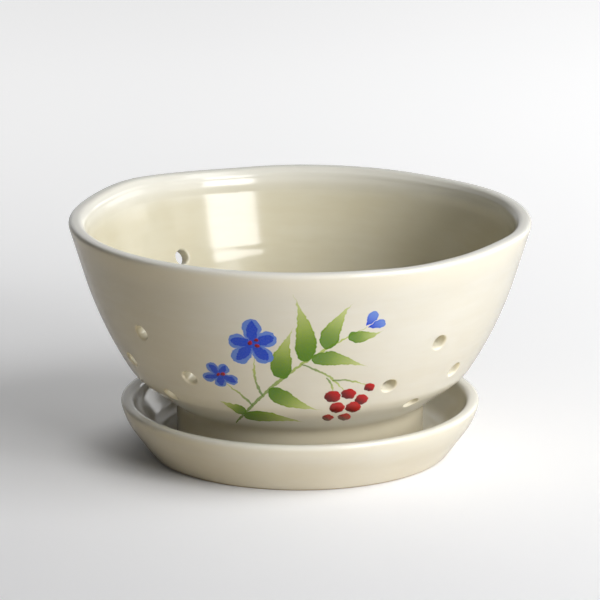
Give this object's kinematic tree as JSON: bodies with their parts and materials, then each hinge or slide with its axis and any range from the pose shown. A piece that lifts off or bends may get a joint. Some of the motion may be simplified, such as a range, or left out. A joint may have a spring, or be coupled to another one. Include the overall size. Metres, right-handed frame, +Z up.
{
  "type": "berry colander bowl",
  "caption": "Round glazed stoneware bowl with flared wall, foot ring and groups of drain holes, standing in a matching drip saucer.",
  "frame": {"origin": "middle of the saucer's underside", "axes": "+Z up along the common axis of bowl and saucer, -Y towards the painted front, +X to the right of someone who faces that front"},
  "size_m": [0.19, 0.19, 0.0985],
  "materials": {
    "cream_glaze": "glossy warm cream glaze with faint throwing rings, and a sprig painted under it on the bowl's front"
  },
  "bodies": {
    "saucer": {"drip_saucer": "cream_glaze"},
    "bowl": {"colander_bowl": "cream_glaze"}
  },
  "joints": [
    {"name": "bowl_lift", "type": "slide", "parent": "saucer", "child": "bowl", "axis": [0, 0, 1], "range_m": [0, 0.1]}
  ]
}
